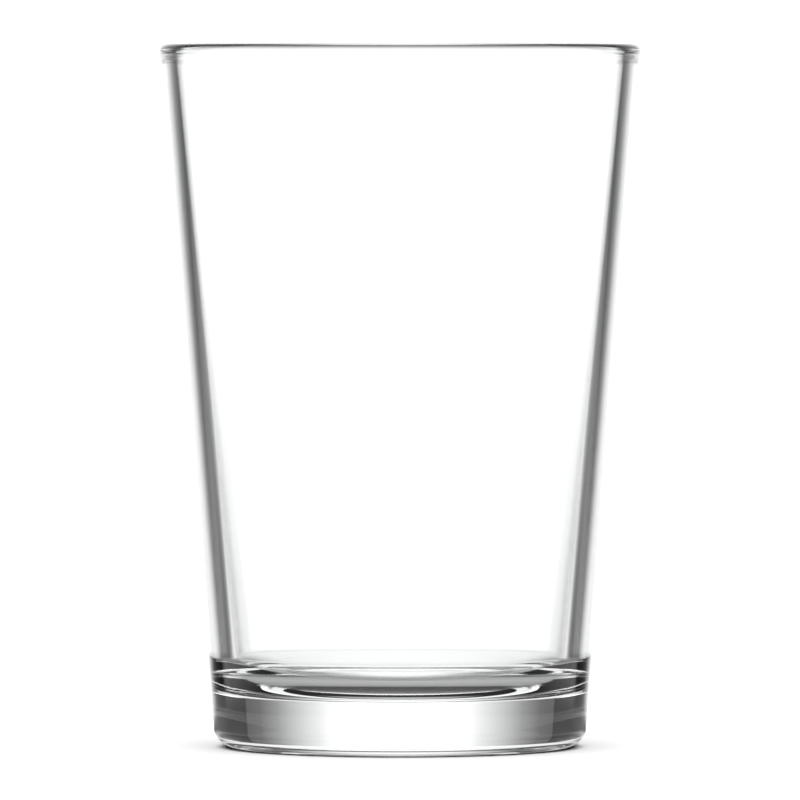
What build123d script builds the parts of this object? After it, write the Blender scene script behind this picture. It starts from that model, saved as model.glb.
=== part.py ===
from build123d import *
import os

# A heavy-bottomed pint tumbler, pressed in one piece of clear soda-lime glass.
#
# Millimetres, +Z up, with the origin at the middle of the circle that the glass stands on. The whole glass is
# one section turned about Z: a straight tapered wall that thins towards a rounded rim, over a thick base with
# a flat floor above and a shallow hollow, the punt, below.

# Driving dimensions
HEIGHT = 130.0
RIM_DIAMETER = 89.0
FOOT_DIAMETER = 68.4  # where the outside wall, carried on down, would meet the table
OUTER_TAPER = 0.0792  # outside radius gained per millimetre of height
INNER_TAPER = 0.1004  # inside radius gained per millimetre of height
INNER_FOOT_RADIUS = 28.68  # where the inside wall, carried on down, would meet the table
RIM_ROUND = 1.46  # radius of the fire-polished rim
RIM_BLEND = 2.0  # height over which the rim's swelling runs into the wall
HEEL_ROUND = 3.75  # outside corner between wall and foot
FLOOR_HEIGHT = 9.8  # thickness of glass under the cavity
CORNER_REACH = 14.0  # how far the inside corner's curve runs in across the floor
CORNER_RISE = 7.5  # and how far it runs up the wall
CORNER_FULLNESS = 0.85  # weight of its middle point: 0.71 is a quarter ellipse, more presses it into the corner
PUNT_RADIUS = 25.0
PUNT_DEPTH = 1.0

# Worked out from them
rim_outer = RIM_DIAMETER / 2
rim_middle = rim_outer - RIM_ROUND
rim_inner = rim_middle - RIM_ROUND
rim_springing = HEIGHT - RIM_ROUND
wall_top = rim_springing - RIM_BLEND
corner_top = FLOOR_HEIGHT + CORNER_RISE
foot = FOOT_DIAMETER / 2


def outer_radius(z):
    return foot + OUTER_TAPER * z


def inner_radius(z):
    return INNER_FOOT_RADIUS + INNER_TAPER * z


with BuildPart() as tumbler:
    with BuildSketch(Plane.XZ) as section:
        with BuildLine():
            punt = TangentArc((0, PUNT_DEPTH), (PUNT_RADIUS, 0), tangent=(1, 0))
            bearing_ring = Line(punt @ 1, (foot, 0))
            outer_wall = Line(bearing_ring @ 1, (outer_radius(wall_top), wall_top))
            outer_swell = Spline(
                outer_wall @ 1,
                (rim_outer, rim_springing),
                tangents=(outer_wall % 1, (0, 1)),
            )
            rim = ThreePointArc(outer_swell @ 1, (rim_middle, HEIGHT), (rim_inner, rim_springing))
            inner_swell = Spline(
                rim @ 1,
                (inner_radius(wall_top), wall_top),
                tangents=((0, -1), (-INNER_TAPER, -1)),
            )
            inner_wall = Line(inner_swell @ 1, (inner_radius(corner_top), corner_top))
            floor_corner = (inner_radius(FLOOR_HEIGHT), FLOOR_HEIGHT)
            floor_edge = (inner_radius(FLOOR_HEIGHT) - CORNER_REACH, FLOOR_HEIGHT)
            corner = Bezier(inner_wall @ 1, floor_corner, floor_edge, weights=[1, CORNER_FULLNESS, 1])
            floor = Line(corner @ 1, (0, FLOOR_HEIGHT))
            Line(floor @ 1, punt @ 0)
        make_face()
        heel = section.vertices().sort_by_distance((foot, 0))[0]
        fillet(heel, HEEL_ROUND)
    revolve(axis=Axis.Z)

tumbler.part.label = "tumbler"

os.makedirs("parts", exist_ok=True)
export_step(tumbler.part, "parts/tumbler.step")
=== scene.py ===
"""A heavy-bottomed pint tumbler in clear pressed glass, on a small pale table in a bright-backed studio.

Laid out as an add-on and run as a script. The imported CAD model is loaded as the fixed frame, the finished
glass is turned from one section as a numpy surface, and the stage puts it in front of a lit backdrop with
dark sides, which is what draws the outline of clear glass.
"""

import math

import bpy
import numpy as np
from bpy.props import (
    FloatProperty,
    FloatVectorProperty,
    IntProperty,
    PointerProperty,
)
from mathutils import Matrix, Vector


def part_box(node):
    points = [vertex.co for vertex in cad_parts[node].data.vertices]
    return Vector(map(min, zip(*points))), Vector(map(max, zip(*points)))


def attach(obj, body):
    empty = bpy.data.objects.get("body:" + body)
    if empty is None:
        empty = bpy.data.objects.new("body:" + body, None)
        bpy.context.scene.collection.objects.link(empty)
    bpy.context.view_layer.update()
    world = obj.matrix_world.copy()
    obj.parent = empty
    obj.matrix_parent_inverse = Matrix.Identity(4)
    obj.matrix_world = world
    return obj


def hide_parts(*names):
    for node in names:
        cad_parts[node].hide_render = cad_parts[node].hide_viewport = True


bl_info = {
    "name": "Pressed pint tumbler",
    "version": (1, 0, 0),
    "blender": (4, 5, 0),
    "location": "3D View > Sidebar > Tumbler",
    "description": "A pressed glass tumbler and the bright-backed table that it stands on",
    "category": "Object",
}

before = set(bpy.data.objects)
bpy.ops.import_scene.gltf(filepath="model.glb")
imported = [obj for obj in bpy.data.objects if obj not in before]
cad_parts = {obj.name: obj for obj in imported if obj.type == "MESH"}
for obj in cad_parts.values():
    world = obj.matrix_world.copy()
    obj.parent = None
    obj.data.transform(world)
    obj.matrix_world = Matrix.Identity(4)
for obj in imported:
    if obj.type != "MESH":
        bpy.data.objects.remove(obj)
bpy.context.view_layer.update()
NODE = "tumbler"
LOW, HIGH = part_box(NODE)
MM = 0.001
NEARLY_ZERO = 1e-6


def linear(hex_colour):
    """An sRGB hex colour as linear red, green and blue."""
    srgb = [int(hex_colour[i : i + 2], 16) / 255 for i in (1, 3, 5)]
    return [c / 12.92 if c <= 0.04045 else ((c + 0.055) / 1.055) ** 2.4 for c in srgb]


# Sizes and colours that a user would change


class TumblerShape(bpy.types.PropertyGroup):
    """The section of the glass and the small marks that pressing leaves on it."""

    height: FloatProperty(
        name="Height",
        description="From the table to the top of the rim",
        default=HIGH[2] - LOW[2],
        unit="LENGTH",
    )
    rim_diameter: FloatProperty(
        name="Rim",
        description="Across the outside of the rim",
        default=HIGH[0] - LOW[0],
        unit="LENGTH",
    )
    foot_diameter: FloatProperty(
        name="Foot",
        description="Where the outside wall, carried on down, would meet the table",
        default=68.4 * MM,
        unit="LENGTH",
    )
    outer_taper: FloatProperty(
        name="Outside taper",
        description="Outside radius gained per unit of height",
        default=0.0792,
    )
    inner_taper: FloatProperty(
        name="Inside taper",
        description="Inside radius gained per unit of height",
        default=0.1004,
    )
    inner_foot_diameter: FloatProperty(
        name="Inside foot",
        description="Where the inside wall, carried on down, would meet the table",
        default=57.36 * MM,
        unit="LENGTH",
    )
    rim_round: FloatProperty(
        name="Rim round",
        description="Radius of the fire-polished rim",
        default=1.46 * MM,
        unit="LENGTH",
    )
    rim_blend: FloatProperty(
        name="Rim blend",
        description="Height over which the rim's swelling runs into the wall",
        default=2.0 * MM,
        unit="LENGTH",
    )
    heel_round: FloatProperty(
        name="Heel round",
        description="Outside corner between wall and foot",
        default=3.75 * MM,
        unit="LENGTH",
    )
    floor_height: FloatProperty(
        name="Base thickness",
        description="Glass between the punt's ring and the floor of the cavity",
        default=9.8 * MM,
        unit="LENGTH",
    )
    corner_reach: FloatProperty(
        name="Corner reach",
        description="How far the inside corner runs in across the floor",
        default=14.0 * MM,
        unit="LENGTH",
    )
    corner_rise: FloatProperty(
        name="Corner rise",
        description="How far the inside corner runs up the wall",
        default=7.5 * MM,
        unit="LENGTH",
    )
    corner_fullness: FloatProperty(
        name="Corner fullness",
        description="Weight of the inside corner's middle point: 0 is straight, 0.71 a quarter ellipse",
        default=0.85,
    )
    punt_radius: FloatProperty(
        name="Punt radius",
        description="Radius of the hollow under the foot",
        default=25.0 * MM,
        unit="LENGTH",
    )
    punt_depth: FloatProperty(
        name="Punt depth",
        description="Depth of the hollow under the foot",
        default=1.0 * MM,
        unit="LENGTH",
    )
    bead_relief: FloatProperty(
        name="Bead relief",
        description="Relief of the bead and grooves that fire-polishing leaves just under the rim",
        default=0.05 * MM,
        unit="LENGTH",
    )
    stipple_depth: FloatProperty(
        name="Stipple depth",
        description="Depth of the stippling on the ring that the glass stands on",
        default=0.01 * MM,
        unit="LENGTH",
    )
    stipple_marks: IntProperty(
        name="Stipple marks",
        description="Marks round the stippled ring",
        default=128,
    )
    segments: IntProperty(
        name="Segments", description="Faces round the glass", default=480
    )


class TumblerFinish(bpy.types.PropertyGroup):
    """Colours of the glass and of the stage."""

    glass_tint: FloatVectorProperty(
        name="Glass",
        description="Tint of clear soda-lime glass",
        subtype="COLOR",
        default=linear("#fcfdfd"),
    )
    table_paint: FloatVectorProperty(
        name="Table",
        description="Pale matt table",
        subtype="COLOR",
        default=linear("#f4f4f4"),
    )
    room_tone: FloatVectorProperty(
        name="Room",
        description="Tone of the studio's light",
        subtype="COLOR",
        default=linear("#ffffff"),
    )


# The section of the glass


def straight(start, end, count):
    """Points in a line from start to end, closer together near both by a cosine so that the shading stays
    true where the line meets a curve, with the last left out."""
    t = (1 - np.cos(np.linspace(0, np.pi, count, endpoint=False)))[:, None] / 2
    return np.array(start) * (1 - t) + np.array(end) * t


def arc(centre, radius, first, last, count):
    """Points on a circle from one angle to another, in degrees, with the last left out."""
    a = np.radians(np.linspace(first, last, count, endpoint=False))
    return np.array(centre) + radius * np.stack([np.cos(a), np.sin(a)], axis=1)


def conic(start, corner, end, fullness, count):
    """A conic that leaves start and reaches end along the lines to corner: the rational quadratic Bezier
    curve of those three points with weights 1, fullness, 1, with the last point left out."""
    t = np.linspace(0, 1, count, endpoint=False)[:, None]
    a, b, c = (1 - t) ** 2, 2 * fullness * t * (1 - t), t**2
    return (a * np.array(start) + b * np.array(corner) + c * np.array(end)) / (
        a + b + c
    )


def swell(start, slope_in, end, slope_out, reach, count):
    """A cubic Hermite curve from start to end, with the slopes given scaled by reach and the last point left
    out."""
    t = np.linspace(0, 1, count, endpoint=False)[:, None]
    return (
        (2 * t**3 - 3 * t**2 + 1) * np.array(start)
        + (t**3 - 2 * t**2 + t) * np.array(slope_in) * reach
        + (3 * t**2 - 2 * t**3) * np.array(end)
        + (t**3 - t**2) * np.array(slope_out) * reach
    )


# Rows of faces along each part of the section
PUNT_ROWS = 10
RING_ROWS = 20
HEEL_ROWS = 16
WALL_ROWS = 24
RIPPLE_ROWS = 10
BEAD_ROWS = 28
RIM_ROWS = 24
CORNER_ROWS = 32
FLOOR_ROWS = 12

# Waves of the stippling across the ring that the glass stands on
STIPPLE_WAVES = 4

# The marks just under the rim, in millimetres down from its top: middle, size and width of the groove, the
# bead and the second groove, then the ripples' ends, pitch and size. Sizes are shares of the bead's relief.
BEAD_DEPTH = 4.2 * MM
BEAD_MARKS = [(1.75, -0.9, 0.12), (2.25, 0.8, 0.2), (2.95, -0.8, 0.18)]
RIPPLE_FROM = 3.05
RIPPLE_TO = 4.05
RIPPLE_PITCH = 0.37
RIPPLE_SHARE = 0.3


def bead(down, relief):
    """How far the outside stands out at a depth below the rim's top: a narrow groove under the round, a bead
    and a second groove, each a bell curve, then fine ripples as a sine under a half-sine window, all times
    relief."""
    mm = down / MM
    marks = sum(
        size * np.exp(-(((mm - middle) / width) ** 2))
        for middle, size, width in BEAD_MARKS
    )
    along = np.clip((mm - RIPPLE_FROM) / (RIPPLE_TO - RIPPLE_FROM), 0, 1)
    ripples = np.sin(np.pi * along) * np.sin(2 * np.pi * mm / RIPPLE_PITCH)
    return relief * (marks + RIPPLE_SHARE * ripples)


def glass_section(s):
    """The whole section as radius and height, from the middle of the punt out under the foot, up the outside,
    over the rim and down the inside to the middle of the floor."""
    foot = s.foot_diameter / 2
    inner_foot = s.inner_foot_diameter / 2
    wall_top = s.height - s.rim_round - s.rim_blend
    rim_outer = s.rim_diameter / 2
    rim_middle = rim_outer - s.rim_round
    springing = s.height - s.rim_round

    def outer(z):
        return foot + s.outer_taper * z

    def inner(z):
        return inner_foot + s.inner_taper * z

    lean = math.atan(s.outer_taper)
    heel_run = s.heel_round / math.tan((math.pi / 2 + lean) / 2)
    heel_centre = (foot - heel_run, s.heel_round)
    heel_end = (
        heel_centre[0] + s.heel_round * math.cos(lean),
        heel_centre[1] - s.heel_round * math.sin(lean),
    )
    punt_sphere = (s.punt_radius**2 + s.punt_depth**2) / (2 * s.punt_depth)
    punt_angle = math.degrees(math.asin(s.punt_radius / punt_sphere))
    corner_top = s.floor_height + s.corner_rise
    floor_edge = inner(s.floor_height) - s.corner_reach
    rim_lean = math.atan(s.inner_taper)
    rim_turn = math.degrees(rim_lean)
    rim_end = (
        rim_middle - s.rim_round * math.cos(rim_lean),
        springing - s.rim_round * math.sin(rim_lean),
    )
    bead_foot = s.height - BEAD_DEPTH
    under_rim = np.concatenate(
        [
            straight(
                (outer(bead_foot), bead_foot), (outer(wall_top), wall_top), RIPPLE_ROWS
            ),
            swell(
                (outer(wall_top), wall_top),
                (s.outer_taper, 1),
                (rim_outer, springing),
                (0, 1),
                s.rim_blend,
                BEAD_ROWS,
            ),
        ]
    )
    under_rim[:, 0] += bead(s.height - under_rim[:, 1], s.bead_relief)
    punt_centre = (0, s.punt_depth - punt_sphere)
    parts = [
        arc(punt_centre, punt_sphere, 90, 90 - punt_angle, PUNT_ROWS),
        straight((s.punt_radius, 0), (heel_centre[0], 0), RING_ROWS),
        arc(heel_centre, s.heel_round, -90, -math.degrees(lean), HEEL_ROWS),
        straight(heel_end, (outer(bead_foot), bead_foot), WALL_ROWS),
        under_rim,
        arc((rim_middle, springing), s.rim_round, 0, 180 + rim_turn, RIM_ROWS),
        straight(rim_end, (inner(corner_top), corner_top), WALL_ROWS),
        conic(
            (inner(corner_top), corner_top),
            (inner(s.floor_height), s.floor_height),
            (floor_edge, s.floor_height),
            s.corner_fullness,
            CORNER_ROWS,
        ),
        straight((floor_edge, s.floor_height), (0, s.floor_height), FLOOR_ROWS),
        np.array([(0, s.floor_height)]),
    ]
    return np.concatenate(parts)


def turned(section, segments, relief=None):
    """The section turned about Z on a grid of points by segments, its first and last points drawn together
    into poles. relief, if given, moves the grid: it takes radius, height and angle and returns a new radius
    and height."""
    radius, angle = np.meshgrid(
        section[:, 0],
        np.linspace(0, 2 * np.pi, segments, endpoint=False),
        indexing="ij",
    )
    height = np.repeat(section[:, 1][:, None], segments, axis=1)
    if relief:
        radius, height = relief(radius, height, angle)
    grid = np.stack([radius * np.cos(angle), radius * np.sin(angle), height], axis=2)
    rows = len(section)
    inner_rows = grid[1:-1].reshape(-1, 3)
    points = np.concatenate(
        [[[0, 0, section[0, 1]]], inner_rows, [[0, 0, section[-1, 1]]]]
    )
    ring = 1 + np.arange((rows - 2) * segments).reshape(rows - 2, segments)
    beside = np.roll(ring, -1, axis=1)
    quads = np.stack([ring[:-1], beside[:-1], beside[1:], ring[1:]], axis=2)
    last = len(points) - 1
    first_fan = np.stack([np.zeros(segments, int), beside[0], ring[0]], axis=1)
    last_fan = np.stack([ring[-1], beside[-1], np.full(segments, last)], axis=1)
    return points, quads.reshape(-1, 4), np.concatenate([first_fan, last_fan])


def mesh_piece(name, points, quads, triangles, material):
    """A smooth-shaded object at the origin from whole arrays of points, quads and triangles."""
    mesh = bpy.data.meshes.new(name)
    faces = np.concatenate([quads.ravel(), triangles.ravel()]).astype(np.int32)
    sizes = np.concatenate([np.full(len(quads), 4), np.full(len(triangles), 3)])
    mesh.vertices.add(len(points))
    mesh.vertices.foreach_set("co", points.astype(np.float32).ravel())
    mesh.loops.add(len(faces))
    mesh.loops.foreach_set("vertex_index", faces)
    mesh.polygons.add(len(sizes))
    starts = np.concatenate([[0], np.cumsum(sizes)[:-1]]).astype(np.int32)
    mesh.polygons.foreach_set("loop_start", starts)
    mesh.update(calc_edges=True)
    mesh.validate()
    mesh.polygons.foreach_set("use_smooth", np.ones(len(sizes), bool))
    mesh.materials.append(material)
    piece = bpy.data.objects.new(name, mesh)
    bpy.context.scene.collection.objects.link(piece)
    return piece


# Materials


def add_node(tree, kind, inputs=None, stops=None, **settings):
    """Adds a node of that kind. Settings are its own properties. Inputs gives, for each input by name or
    number, the output that feeds it or the value that it holds, and stops are a ramp's places and levels."""
    node = tree.nodes.new(kind)
    for key, value in settings.items():
        setattr(node, key, value)
    for key, value in (inputs or {}).items():
        if isinstance(value, bpy.types.NodeSocket):
            tree.links.new(value, node.inputs[key])
        else:
            node.inputs[key].default_value = value
    if stops:
        elements = node.color_ramp.elements
        for _ in stops[2:]:
            elements.new(1.0)
        for element, (place, level) in zip(elements, stops):
            element.position = place
            element.color = (level, level, level, 1)
    return node


def new_tree(block):
    """An empty node tree on a material or world."""
    block.use_nodes = True
    block.node_tree.nodes.clear()
    return block.node_tree


WAVE_PITCH = 9 * MM
WAVE_DEPTH = 0.02 * MM
WAVE_STRENGTH = 0.05
SCUFF_PITCH = 0.4 * MM
SCUFF_HEIGHT = 0.25 * MM
SCUFF_ROUGHNESS = 0.12
SODA_LIME_IOR = 1.52


def pressed_glass(tint):
    """Clear soda-lime glass, pressed in an iron mould and fire-polished."""
    material = bpy.data.materials.new("soda_lime_glass_fire_polished")
    tree = new_tree(material)
    place = add_node(tree, "ShaderNodeTexCoord").outputs["Object"]
    # Pressed glass isn't quite flat: the skin that chilled on the mould keeps a waviness about 9 mm across
    # and a fiftieth of a millimetre deep, so straight lines seen through it waver.
    waves = add_node(
        tree,
        "ShaderNodeTexNoise",
        {"Vector": place, "Scale": 1 / WAVE_PITCH, "Detail": 2.0},
    )
    skin = add_node(
        tree,
        "ShaderNodeBump",
        {
            "Height": waves.outputs["Fac"],
            "Strength": WAVE_STRENGTH,
            "Distance": WAVE_DEPTH,
        },
    )
    # The ring that it stands on is lightly scuffed by use, with scratches about 0.4 mm apart, so the foot
    # scatters a little light while the rest stays fire-polished.
    scuffs = add_node(
        tree,
        "ShaderNodeTexNoise",
        {"Vector": place, "Scale": 1 / SCUFF_PITCH, "Detail": 3.0},
    )
    height = add_node(tree, "ShaderNodeSeparateXYZ", {0: place}).outputs["Z"]
    on_foot = add_node(
        tree,
        "ShaderNodeMapRange",
        {
            "Value": height,
            "From Min": SCUFF_HEIGHT,
            "From Max": 0.0,
            "To Min": 0.0,
            "To Max": SCUFF_ROUGHNESS,
        },
    )
    polish = add_node(
        tree,
        "ShaderNodeMath",
        {0: on_foot.outputs["Result"], 1: scuffs.outputs["Fac"]},
        operation="MULTIPLY",
    )
    glass = add_node(
        tree,
        "ShaderNodeBsdfPrincipled",
        {
            "Base Color": (*tint, 1),
            "Roughness": polish.outputs[0],
            "IOR": SODA_LIME_IOR,
            "Transmission Weight": 1.0,
            "Normal": skin.outputs["Normal"],
        },
    )
    add_node(tree, "ShaderNodeOutputMaterial", {"Surface": glass.outputs["BSDF"]})
    return material


def bearing(tree, vector):
    """How far round from straight behind the glass, on either side, as a fraction of half a turn."""
    axes = add_node(tree, "ShaderNodeSeparateXYZ", {0: vector}).outputs
    turn = add_node(
        tree, "ShaderNodeMath", {0: axes["X"], 1: axes["Y"]}, operation="ARCTAN2"
    )
    share = add_node(
        tree, "ShaderNodeMath", {0: turn.outputs[0], 1: math.pi}, operation="DIVIDE"
    )
    return add_node(
        tree, "ShaderNodeMath", {0: share.outputs[0]}, operation="ABSOLUTE"
    ).outputs[0]


# The studio, as pairs of brightness against the bearing from straight behind the glass and share against the
# angle up from level, both in degrees
BRIGHTEST = 2.2
BACKDROP = (
    [
        (0, 1.4),
        (11, 1.3),
        (15, 1.1),
        (18, 0.9),
        (23, 0.66),
        (30, 0.34),
        (37, 0.16),
        (43.7, 0.12),
        (44, 0.045),
        (57, 0.06),
        (69, 0.12),
        (78, 0.25),
        (90, 0.2),
        (140, 0.1),
    ],
    [(-1.5, 0), (0.5, 1), (20, 1), (40, 0.5), (60, 0.3)],
)
LOW_BACKDROP = (
    [(0, 1.35), (15, 1.25), (20, 0.9), (24, 0.5), (28, 0.14), (32, 0.05), (46, 0.03), (48, 0)],
    [(-13, 0), (-10, 1), (-1.5, 1), (0.5, 0)],
)
SIDE_SCREENS = (
    [(44, 0), (48, 1.1), (51, 1.9), (62, 2.2), (75, 1.9), (84, 1.2), (92, 0.8), (110, 0.5)],
    [(-13, 0), (-11, 0.45), (-7, 0.45), (-5, 1), (-1.5, 1), (0.5, 0)],
)
SCREEN_FEET = (
    [(40.5, 0), (43.5, 0.24), (46, 0.58), (48.5, 0.35), (51.5, 0.1), (54, 0)],
    [(-13, 0), (-11, 1), (-7.5, 1), (-6.2, 0)],
)
HAZE = ([(0, 0.2), (180, 0.2)], [(-6.5, 0), (-4.5, 1), (-1, 1), (0.5, 0)])
SWEEP = (
    [
        (0, 1.2),
        (17, 1.1),
        (21, 0.7),
        (25, 0.15),
        (28, 0.05),
        (36, 0.05),
        (43, 1.0),
        (180, 1.0),
    ],
    [
        (-90, 0.5),
        (-82, 0.5),
        (-76, 0.1),
        (-40, 0.1),
        (-34, 0.17),
        (-28, 0.32),
        (-24, 0.5),
        (-18, 0.8),
        (-14, 1),
        (-10, 0),
    ],
)
OVERHEAD = ([(48, 0), (80, 1.35), (180, 1.3)], [(38, 0), (60, 1)])
STUDIO = (BACKDROP, LOW_BACKDROP, SIDE_SCREENS, SCREEN_FEET, HAZE, SWEEP, OVERHEAD)

# The table top
TABLE_RADIUS = 130 * MM
TABLE_SIDES = 128
TABLE_GAP = 0.05 * MM
TABLE_FADES_FROM = 60 * MM
PAINTED_LIGHT_GLOW = 1.1

# The painted light and shade on the table as it shows through the glass, glowing levels that stand in for the
# light that the glass gathers and the shadow that it casts. In front the level under the foot goes by the
# distance from the middle in millimetres, and behind it is even, changing between two bearings in degrees.
# Further out, between two distances, that turns into a level by bearing.
BEHIND_TO_FRONT = (75, 95)
FOOT_TO_SECTORS = (40 * MM, 52 * MM)
PAINTED_LIGHT_AND_SHADOW_UNDER_FOOT = [
    (0, 0.9),
    (7, 0.9),
    (12, 0.4),
    (16, 0.12),
    (20, 0.06),
    (24, 0.05),
    (25, 0.28),
    (30, 0.45),
    (34, 0.3),
    (44, 0.3),
    (52, 0.6),
]
# Painted tone behind the foot, and painted shade by bearing further out: darker at the sides, paler behind
# and in front
PAINTED_TONE_BEHIND_FOOT = 0.92
PAINTED_SHADE_BY_BEARING = [
    (0, 1.0),
    (30, 0.95),
    (38, 0.7),
    (46, 0.28),
    (56, 0.16),
    (80, 0.14),
    (95, 0.3),
    (120, 0.5),
    (150, 0.7),
    (180, 0.7),
]

# What the eye sees past the table, the softbox over it, and the camera, in metres but for the film and lens
PAPER_GLOW = 1.1
SOFTBOX_SIZE = 4.0
SOFTBOX_HEIGHT = 1.8
SOFTBOX_WATTS = 100.0
FILM_WIDTH = 36.0
LONG_LENS = 507.7
CAMERA_PLACE = np.array([0, -2.0856, 0.1297])
CAMERA_TARGET = np.array([0, 0, 0.0641])


# Operators


class TUMBLER_OT_press(bpy.types.Operator):
    """Turn the glass from its section and put it in the place of the CAD node"""

    bl_idname = "tumbler.press"
    bl_label = "Press the glass"

    def execute(self, context):
        shape = context.scene.tumbler_shape
        finish = context.scene.tumbler_finish
        ring_in = shape.punt_radius
        ring_out = shape.foot_diameter / 2 - shape.heel_round

        def relief(radius, height, angle):
            """Stippling on the bearing ring: a product of waves along the radius and round the ring, raised
            from the table and faded out at the ring's two edges."""
            across = np.clip((radius - ring_in) / (ring_out - ring_in), 0, 1)
            on_table = height < NEARLY_ZERO
            on_ring = np.sin(np.pi * across) ** 0.5 * on_table
            rows = np.sin(STIPPLE_WAVES * 2 * np.pi * across)
            marks = np.sin(shape.stipple_marks * angle)
            depth = shape.stipple_depth * on_ring * (0.5 + 0.5 * rows * marks)
            return radius, height + depth

        points, quads, triangles = turned(glass_section(shape), shape.segments, relief)
        tumbler = mesh_piece(
            "pressed_tumbler",
            points,
            quads,
            triangles,
            pressed_glass(finish.glass_tint),
        )
        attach(tumbler, "root")
        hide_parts(NODE)
        return {"FINISHED"}


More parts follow.
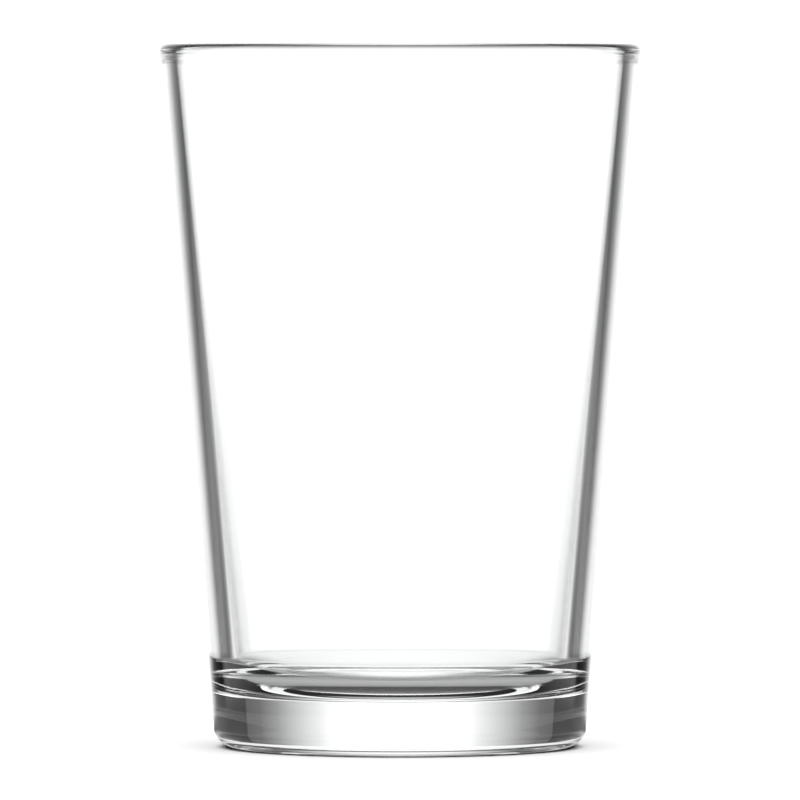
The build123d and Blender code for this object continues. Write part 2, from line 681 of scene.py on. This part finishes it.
class TUMBLER_OT_stage(bpy.types.Operator):
    """Lay the table, light the studio and set up the camera"""

    bl_idname = "tumbler.stage"
    bl_label = "Set the stage"

    def execute(self, context):
        finish = context.scene.tumbler_finish
        self.lay_table(finish)
        self.light_studio(finish)
        self.set_camera(context.scene)
        context.scene.view_settings.view_transform = "Standard"
        return {"FINISHED"}

    def lay_table(self, finish):
        """A small round table top just under the glass. The eye sees matt white laminate whose edge fades
        into the white round it. Through the glass it shows painted light and shade, glowing in place of the
        light that
        the glass gathers there: under the front half of the foot a painted bright middle, a painted dark
        shadow ring inside the punt's edge and a grey one under the bearing ring, behind them a pale table,
        then by sectors the pale sweep behind, the painted shade of the sides and the paler front."""
        material = bpy.data.materials.new("matt_white_laminate_and_painted_light")
        tree = new_tree(material)
        place = add_node(tree, "ShaderNodeTexCoord").outputs["Object"]
        reach = add_node(
            tree, "ShaderNodeVectorMath", {0: place}, operation="LENGTH"
        ).outputs["Value"]
        # Painted light and shade under the front of the foot: a bright painted pool in the middle, a dark
        # painted shadow ring inside the punt's edge and grey under the bearing ring
        painted_light_and_shadow_under_foot = add_node(
            tree,
            "ShaderNodeValToRGB",
            {
                "Fac": add_node(
                    tree,
                    "ShaderNodeMath",
                    {0: reach, 1: TABLE_RADIUS},
                    operation="DIVIDE",
                ).outputs[0]
            },
            stops=[(mm * MM / TABLE_RADIUS, level) for mm, level in PAINTED_LIGHT_AND_SHADOW_UNDER_FOOT],
        ).outputs["Color"]
        round_it = bearing(tree, place)
        in_front = add_node(
            tree,
            "ShaderNodeMapRange",
            {
                "Value": round_it,
                "From Min": BEHIND_TO_FRONT[0] / 180,
                "From Max": BEHIND_TO_FRONT[1] / 180,
            },
            interpolation_type="SMOOTHSTEP",
        ).outputs["Result"]
        near = add_node(
            tree,
            "ShaderNodeMix",
            {0: in_front, 6: (PAINTED_TONE_BEHIND_FOOT, PAINTED_TONE_BEHIND_FOOT, PAINTED_TONE_BEHIND_FOOT, 1), 7: painted_light_and_shadow_under_foot},
            data_type="RGBA",
        ).outputs[2]
        # Painted shade by bearing further out: pale behind, darker at the sides, paler in front
        sectors = add_node(
            tree,
            "ShaderNodeValToRGB",
            {"Fac": round_it},
            stops=[(degrees / 180, level) for degrees, level in PAINTED_SHADE_BY_BEARING],
        ).outputs["Color"]
        outward = add_node(
            tree,
            "ShaderNodeMapRange",
            {
                "Value": reach,
                "From Min": FOOT_TO_SECTORS[0],
                "From Max": FOOT_TO_SECTORS[1],
            },
            interpolation_type="SMOOTHSTEP",
        ).outputs["Result"]
        painted_table_tone = add_node(
            tree,
            "ShaderNodeMix",
            {0: outward, 6: near, 7: sectors},
            data_type="RGBA",
        ).outputs[2]
        # The painted light and shade glow as emission for every ray but the camera's, which sees the plain
        # laminate
        painted_light_glow = add_node(tree, "ShaderNodeEmission", {"Color": painted_table_tone, "Strength": PAINTED_LIGHT_GLOW})
        laminate = add_node(
            tree, "ShaderNodeBsdfDiffuse", {"Color": (*finish.table_paint, 1)}
        )
        by_eye = add_node(tree, "ShaderNodeLightPath").outputs["Is Camera Ray"]
        top = add_node(
            tree,
            "ShaderNodeMixShader",
            {0: by_eye, 1: painted_light_glow.outputs[0], 2: laminate.outputs[0]},
        )
        fade = add_node(
            tree,
            "ShaderNodeMapRange",
            {
                "Value": reach,
                "From Min": TABLE_FADES_FROM,
                "From Max": TABLE_RADIUS,
            },
            interpolation_type="SMOOTHSTEP",
        )
        clear = add_node(tree, "ShaderNodeBsdfTransparent")
        surface = add_node(
            tree,
            "ShaderNodeMixShader",
            {0: fade.outputs["Result"], 1: top.outputs[0], 2: clear.outputs[0]},
        )
        add_node(tree, "ShaderNodeOutputMaterial", {"Surface": surface.outputs[0]})
        section = np.array([(0, 0), (0.5, 0), (1, 0), (1, 0)]) * TABLE_RADIUS
        points, quads, triangles = turned(section, TABLE_SIDES)
        points[:, 2] -= TABLE_GAP
        # The first ring of quads and the first fan make a flat disc, which is turned over to face up
        rim_faces = quads[:TABLE_SIDES, ::-1]
        middle_faces = triangles[:TABLE_SIDES, ::-1]
        table = mesh_piece("table", points[:-1], rim_faces, middle_faces, material)

    def light_studio(self, finish):
        """The studio's light depends only on direction. What shows past the table is plain pale paper. What
        the glass gathers comes from STUDIO, and a softbox overhead lights only the table."""
        world = bpy.data.worlds.new("studio")
        bpy.context.scene.world = world
        tree = new_tree(world)
        way = add_node(tree, "ShaderNodeTexCoord").outputs["Generated"]
        round_it = bearing(tree, way)
        height = add_node(tree, "ShaderNodeSeparateXYZ", {0: way}).outputs["Z"]
        rise = add_node(
            tree, "ShaderNodeMath", {0: height}, operation="ARCSINE"
        ).outputs[0]
        rise = add_node(
            tree,
            "ShaderNodeMath",
            {0: rise, 1: 1 / math.pi, 2: 0.5},
            operation="MULTIPLY_ADD",
        ).outputs[0]
        total = 0.0
        for by_bearing, by_rise in STUDIO:
            level = add_node(
                tree,
                "ShaderNodeValToRGB",
                {"Fac": round_it},
                stops=[(degrees / 180, v / BRIGHTEST) for degrees, v in by_bearing],
            )
            share = add_node(
                tree,
                "ShaderNodeValToRGB",
                {"Fac": rise},
                stops=[(0.5 + degrees / 180, v) for degrees, v in by_rise],
            )
            total = add_node(
                tree,
                "ShaderNodeMath",
                {0: level.outputs["Color"], 1: share.outputs["Color"], 2: total},
                operation="MULTIPLY_ADD",
            ).outputs[0]
        strength = add_node(
            tree, "ShaderNodeMath", {0: total, 1: BRIGHTEST}, operation="MULTIPLY"
        )
        light = add_node(
            tree,
            "ShaderNodeBackground",
            {"Color": (*finish.room_tone, 1), "Strength": strength.outputs[0]},
        )
        paper = add_node(
            tree,
            "ShaderNodeBackground",
            {"Color": (*finish.room_tone, 1), "Strength": PAPER_GLOW},
        )
        by_eye = add_node(tree, "ShaderNodeLightPath").outputs["Is Camera Ray"]
        seen = add_node(
            tree,
            "ShaderNodeMixShader",
            {0: by_eye, 1: light.outputs[0], 2: paper.outputs[0]},
        )
        add_node(tree, "ShaderNodeOutputWorld", {"Surface": seen.outputs[0]})
        softbox = bpy.data.lights.new("softbox", "AREA")
        softbox.size = SOFTBOX_SIZE
        softbox.energy = SOFTBOX_WATTS
        lamp = bpy.data.objects.new("softbox", softbox)
        lamp.location = (0, 0, SOFTBOX_HEIGHT)
        lamp.visible_camera = False
        lamp.visible_glossy = False
        lamp.visible_transmission = False
        bpy.context.scene.collection.objects.link(lamp)
        bpy.context.scene.cycles.caustics_refractive = False
        bpy.context.scene.cycles.caustics_reflective = False

    def set_camera(self, scene):
        """A long lens level with the rim, turned slightly down to centre the glass."""
        data = bpy.data.cameras.new("camera")
        data.sensor_width = FILM_WIDTH
        data.lens = LONG_LENS
        data.clip_start = 0.01
        data.clip_end = 50.0
        camera = bpy.data.objects.new("camera", data)
        scene.collection.objects.link(camera)
        camera.location = CAMERA_PLACE
        drop = CAMERA_PLACE[2] - CAMERA_TARGET[2]
        camera.rotation_euler = (
            math.pi / 2 - math.atan2(drop, -CAMERA_PLACE[1]),
            0,
            0,
        )
        scene.camera = camera


class TUMBLER_PT_sidebar(bpy.types.Panel):
    """The tumbler's sizes, finish and steps"""

    bl_label = "Tumbler"
    bl_idname = "TUMBLER_PT_sidebar"
    bl_space_type = "VIEW_3D"
    bl_region_type = "UI"
    bl_category = "Tumbler"

    def draw(self, context):
        column = self.layout.column()
        for group in (context.scene.tumbler_shape, context.scene.tumbler_finish):
            for name in group.__annotations__:
                column.prop(group, name)
        for operator in OPERATORS:
            column.operator(operator.bl_idname)


OPERATORS = (TUMBLER_OT_press, TUMBLER_OT_stage)
CLASSES = (TumblerShape, TumblerFinish, *OPERATORS, TUMBLER_PT_sidebar)


def register():
    for cls in CLASSES:
        bpy.utils.register_class(cls)
    bpy.types.Scene.tumbler_shape = PointerProperty(type=TumblerShape)
    bpy.types.Scene.tumbler_finish = PointerProperty(type=TumblerFinish)


def unregister():
    del bpy.types.Scene.tumbler_finish
    del bpy.types.Scene.tumbler_shape
    for cls in reversed(CLASSES):
        bpy.utils.unregister_class(cls)


def main():
    register()
    bpy.ops.tumbler.press()
    bpy.ops.tumbler.stage()


if __name__ == "__main__":
    main()
